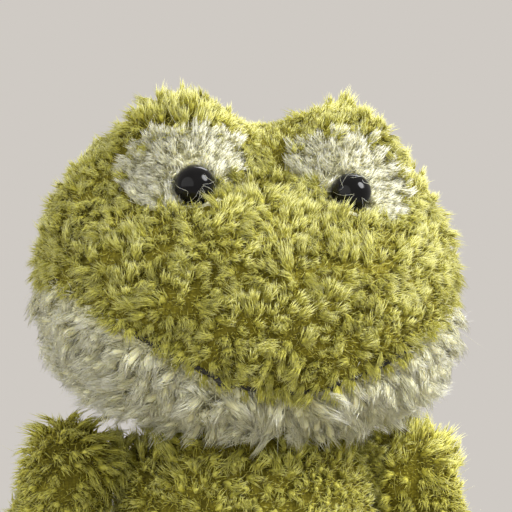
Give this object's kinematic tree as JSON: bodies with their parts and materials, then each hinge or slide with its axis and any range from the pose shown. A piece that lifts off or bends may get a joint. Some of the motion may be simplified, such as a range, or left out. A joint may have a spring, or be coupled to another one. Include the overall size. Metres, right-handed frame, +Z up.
{
  "type": "plush frog",
  "caption": "Seated plush frog with a wide head, domed eye patches, bead eyes, a muzzle over a pale jaw, and limbs that flop at their sewn joints.",
  "frame": {"origin": "on the flat underside of the seat, straight below the neck", "axes": "+Z up, the frog faces -Y, +X to the frog's left"},
  "size_m": [0.1698, 0.1813, 0.2007],
  "materials": {
    "green_pile": "matte",
    "cream_pile": "matte",
    "black_bead": "gloss",
    "washer_plastic": "matte",
    "fibre_stuffing": "matte",
    "pellet_bag_cloth": "matte",
    "seam_thread": "matte",
    "mouth_thread": "matte",
    "label_cloth": "matte"
  },
  "bodies": {
    "torso": {"torso_front_panel": "green_pile", "torso_back_panel": "green_pile", "seat_panel": "green_pile", "torso_stuffing": "fibre_stuffing", "pellet_bag": "pellet_bag_cloth", "care_label": "label_cloth"},
    "neck": {"neck_seam": "seam_thread"},
    "head": {"crown_panel": "green_pile", "jaw_panel": "cream_pile", "head_stuffing": "fibre_stuffing", "mouth_thread": "mouth_thread", "right_eye_patch": "cream_pile", "right_eye": "black_bead", "right_eye_washer": "washer_plastic", "left_eye_patch": "cream_pile", "left_eye": "black_bead", "left_eye_washer": "washer_plastic"},
    "right_shoulder": {"right_shoulder_seam": "seam_thread"},
    "right_arm": {"right_arm_skin": "green_pile", "right_arm_stuffing": "fibre_stuffing", "right_hand_skin": "green_pile", "right_hand_stuffing": "fibre_stuffing"},
    "right_hip": {"right_hip_seam": "seam_thread"},
    "right_leg": {"right_leg_skin": "green_pile", "right_leg_stuffing": "fibre_stuffing"},
    "right_foot": {"right_foot_skin": "green_pile", "right_foot_stuffing": "fibre_stuffing"},
    "left_shoulder": {"left_shoulder_seam": "seam_thread"},
    "left_arm": {"left_arm_skin": "green_pile", "left_arm_stuffing": "fibre_stuffing", "left_hand_skin": "green_pile", "left_hand_stuffing": "fibre_stuffing"},
    "left_hip": {"left_hip_seam": "seam_thread"},
    "left_leg": {"left_leg_skin": "green_pile", "left_leg_stuffing": "fibre_stuffing"},
    "left_foot": {"left_foot_skin": "green_pile", "left_foot_stuffing": "fibre_stuffing"}
  },
  "joints": [
    {"name": "neck_turn", "type": "hinge", "parent": "torso", "child": "neck", "pos_m": [0, 0, 0.096], "axis": [0, 0, 1], "range_deg": [-28, 28], "stiffness_Nm_per_rad": 0.5},
    {"name": "neck_nod", "type": "hinge", "parent": "neck", "child": "head", "pos_m": [0, 0, 0.096], "axis": [1, 0, 0], "range_deg": [-12, 8], "stiffness_Nm_per_rad": 0.8},
    {"name": "right_shoulder_swing", "type": "hinge", "parent": "torso", "child": "right_shoulder", "pos_m": [-0.0543, 0, 0.085], "axis": [-1, 0, 0], "range_deg": [-25, 70], "stiffness_Nm_per_rad": 0.15},
    {"name": "right_shoulder_spread", "type": "hinge", "parent": "right_shoulder", "child": "right_arm", "pos_m": [-0.0543, 0, 0.085], "axis": [0, 1, 0], "range_deg": [-6, 45], "stiffness_Nm_per_rad": 0.15},
    {"name": "right_hip_raise", "type": "hinge", "parent": "torso", "child": "right_hip", "pos_m": [-0.0385, -0.028, 0.0188], "axis": [-1, 0, 0], "range_deg": [-15, 28], "stiffness_Nm_per_rad": 0.2},
    {"name": "right_hip_splay", "type": "hinge", "parent": "right_hip", "child": "right_leg", "pos_m": [-0.0385, -0.028, 0.0188], "axis": [0, 0, -1], "range_deg": [-8, 28], "stiffness_Nm_per_rad": 0.15},
    {"name": "right_ankle", "type": "hinge", "parent": "right_leg", "child": "right_foot", "pos_m": [-0.05765, -0.09945, 0.0168], "axis": [-1, 0, 0], "range_deg": [-22, 22], "stiffness_Nm_per_rad": 0.05},
    {"name": "left_shoulder_swing", "type": "hinge", "parent": "torso", "child": "left_shoulder", "pos_m": [0.0543, 0, 0.085], "axis": [-1, 0, 0], "range_deg": [-25, 70], "stiffness_Nm_per_rad": 0.15},
    {"name": "left_shoulder_spread", "type": "hinge", "parent": "left_shoulder", "child": "left_arm", "pos_m": [0.0543, 0, 0.085], "axis": [0, -1, 0], "range_deg": [-6, 45], "stiffness_Nm_per_rad": 0.15},
    {"name": "left_hip_raise", "type": "hinge", "parent": "torso", "child": "left_hip", "pos_m": [0.0385, -0.028, 0.0188], "axis": [-1, 0, 0], "range_deg": [-15, 28], "stiffness_Nm_per_rad": 0.2},
    {"name": "left_hip_splay", "type": "hinge", "parent": "left_hip", "child": "left_leg", "pos_m": [0.0385, -0.028, 0.0188], "axis": [0, 0, 1], "range_deg": [-8, 28], "stiffness_Nm_per_rad": 0.15},
    {"name": "left_ankle", "type": "hinge", "parent": "left_leg", "child": "left_foot", "pos_m": [0.05765, -0.09945, 0.0168], "axis": [-1, 0, 0], "range_deg": [-22, 22], "stiffness_Nm_per_rad": 0.05}
  ]
}
